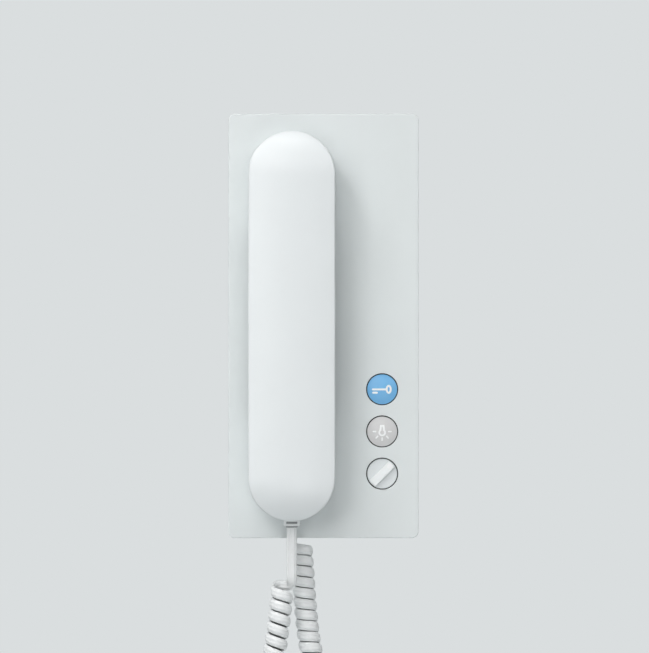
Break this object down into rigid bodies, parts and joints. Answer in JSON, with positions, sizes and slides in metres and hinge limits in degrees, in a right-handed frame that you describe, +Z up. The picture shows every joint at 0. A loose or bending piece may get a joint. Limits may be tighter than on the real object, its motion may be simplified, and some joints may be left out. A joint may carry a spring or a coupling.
{
  "type": "audio intercom handset",
  "caption": "Flat white wall intercom phone: a slim rounded handset hangs on a shallow rectangular base with round push buttons and a knob, joined by a curly cord.",
  "frame": {"origin": "centre of the base's back face, on the wall", "axes": "+Y into the wall, so the front faces -Y; +Z up along the base's height; +X to the right seen from the front"},
  "size_m": [0.09, 0.046, 0.3206],
  "materials": {
    "base_plastic": "satin white moulded plastic",
    "handset_plastic": "satin white moulded plastic",
    "blue_button": "satin pale blue moulded plastic",
    "grey_button": "satin light grey moulded plastic",
    "cord_jacket": "soft white cord jacket",
    "plug_plastic": "milky plug plastic",
    "black_plastic": "black moulded plastic",
    "circuit_board": "green solder mask",
    "terminal_plastic": "green moulded plastic",
    "transformer_iron": "varnished laminations",
    "capacitor_sleeve": "dark blue sleeve",
    "screw_steel": "zinc plated",
    "receiver_metal": "dull metal can",
    "weight_iron": "bare iron",
    "soft_rubber": "black rubber",
    "red_lead": "red insulation",
    "yellow_lead": "yellow insulation"
  },
  "bodies": {
    "base": {"base_plate": "base_plastic", "front_cover": "base_plastic", "cover_screws": "screw_steel", "main_board": "circuit_board", "board_screws": "screw_steel", "terminal_block": "terminal_plastic", "terminal_screws": "screw_steel", "ringer": "black_plastic", "line_transformer": "transformer_iron", "capacitors": "capacitor_sleeve", "chips": "black_plastic", "door_switch": "black_plastic", "light_switch": "black_plastic", "volume_potentiometer": "black_plastic", "hook_switch": "black_plastic", "hook_pin": "screw_steel", "hook_spring": "screw_steel", "base_socket": "black_plastic", "base_plug": "plug_plastic", "curly_cord": "cord_jacket"},
    "door_button": {"door_button": "blue_button", "door_plunger": "black_plastic"},
    "light_button": {"light_button": "grey_button", "light_plunger": "black_plastic"},
    "volume_knob": {"volume_knob": "grey_button", "potentiometer_shaft": "screw_steel"},
    "hook_lever": {"hook_lever": "base_plastic"},
    "handset": {"handset_front_shell": "handset_plastic", "handset_rear_shell": "handset_plastic", "shell_screws": "screw_steel", "ear_receiver": "receiver_metal", "receiver_gasket": "soft_rubber", "microphone": "receiver_metal", "microphone_boot": "soft_rubber", "handset_socket": "black_plastic", "handset_weight": "weight_iron", "receiver_lead": "red_lead", "microphone_lead": "yellow_lead", "handset_plug": "plug_plastic"}
  },
  "joints": [
    {"name": "handset_lift", "type": "slide", "parent": "base", "child": "handset", "axis": [0, -0.8, 0.6], "range_m": [0, 0.065], "deforming": ["curly_cord"]},
    {"name": "hook_rise", "type": "hinge", "parent": "base", "child": "hook_lever", "pos_m": [-0.015, -0.0095, 0.04], "axis": [1, 0, 0], "range_deg": [0, 11.5], "deforming": ["hook_spring"]},
    {"name": "door_press", "type": "slide", "parent": "base", "child": "door_button", "axis": [0, 1, 0], "range_m": [0, 0.001], "stiffness_N_per_m": 800},
    {"name": "light_press", "type": "slide", "parent": "base", "child": "light_button", "axis": [0, 1, 0], "range_m": [0, 0.001], "stiffness_N_per_m": 800},
    {"name": "volume_turn", "type": "hinge", "parent": "base", "child": "volume_knob", "pos_m": [0.0278, -0.016, -0.07], "axis": [0, 1, 0], "range_deg": [-180, 90]}
  ],
  "couplings": [
    {"joint": "hook_rise", "follows": "handset_lift", "rad_per_m": 3.08}
  ]
}
